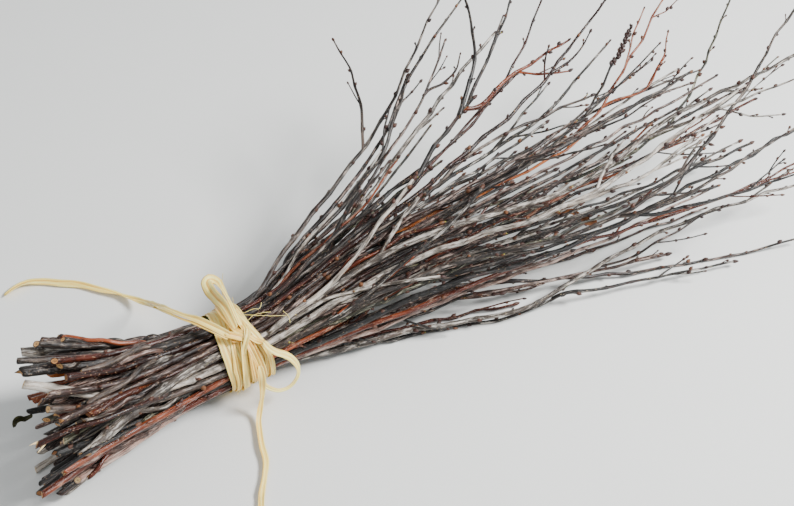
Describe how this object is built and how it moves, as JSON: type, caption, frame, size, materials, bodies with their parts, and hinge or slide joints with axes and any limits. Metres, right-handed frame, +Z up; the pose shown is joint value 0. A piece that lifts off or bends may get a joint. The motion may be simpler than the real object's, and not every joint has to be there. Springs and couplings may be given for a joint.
{
  "type": "bundle of twigs",
  "caption": "Bundle of cut leafless twigs lying on its side, bound near the cut ends with turns of raffia that end in a knot, small loops and loose tails.",
  "frame": {"origin": "middle of the base of the bundle's box where it rests on a table, the loose raffia tails left out", "axes": "+X from the cut ends to the tips, +Z up from the table, +Y to the back"},
  "size_m": [0.621, 0.2723, 0.1407],
  "materials": {
    "grey_bark": "grey bark, satin, with pale pores and buds",
    "mauve_bark": "mauve bark, satin, with pale pores and buds",
    "dark_bark": "dark bark, satin, with pale pores and buds",
    "red_bark": "red bark, satin, with pale pores and buds",
    "orange_bark": "orange bark, satin, with pale pores and buds",
    "green_bark": "green bark, satin, with pale pores and buds",
    "raffia": "dry straw-coloured raffia ribbon with fine lengthwise creases"
  },
  "bodies": {
    "root": {"twig_01": "dark_bark", "twig_02": "dark_bark", "twig_03": "mauve_bark", "twig_04": "grey_bark", "twig_05": "dark_bark", "twig_06": "red_bark", "twig_07": "red_bark", "twig_08": "grey_bark", "twig_09": "dark_bark", "twig_10": "red_bark", "twig_11": "dark_bark", "twig_12": "mauve_bark", "twig_13": "green_bark", "twig_14": "dark_bark", "twig_15": "grey_bark", "twig_16": "grey_bark", "twig_17": "dark_bark", "twig_18": "red_bark", "twig_19": "grey_bark", "twig_20": "mauve_bark", "twig_21": "grey_bark", "twig_22": "dark_bark", "twig_23": "red_bark", "twig_24": "mauve_bark", "twig_25": "dark_bark", "twig_26": "grey_bark", "twig_27": "mauve_bark", "twig_28": "dark_bark", "twig_29": "mauve_bark", "twig_30": "mauve_bark", "twig_31": "red_bark", "fork_01": "dark_bark", "fork_02": "dark_bark", "fork_03": "dark_bark", "fork_04": "orange_bark", "fork_05": "red_bark", "fork_06": "grey_bark", "fork_07": "dark_bark", "fork_08": "red_bark", "fork_09": "mauve_bark", "fork_10": "dark_bark", "fork_11": "grey_bark", "fork_12": "grey_bark", "fork_13": "dark_bark", "fork_14": "red_bark", "fork_15": "grey_bark", "fork_16": "mauve_bark", "fork_17": "mauve_bark", "fork_18": "green_bark", "fork_19": "red_bark", "fork_20": "grey_bark", "inner_twigs": "mauve_bark", "raffia_wrap": "raffia", "raffia_knot": "raffia", "raffia_loop_upper": "raffia", "raffia_loop_right": "raffia", "raffia_tail_left": "raffia", "raffia_tail_front": "raffia"}
  },
  "joints": []
}
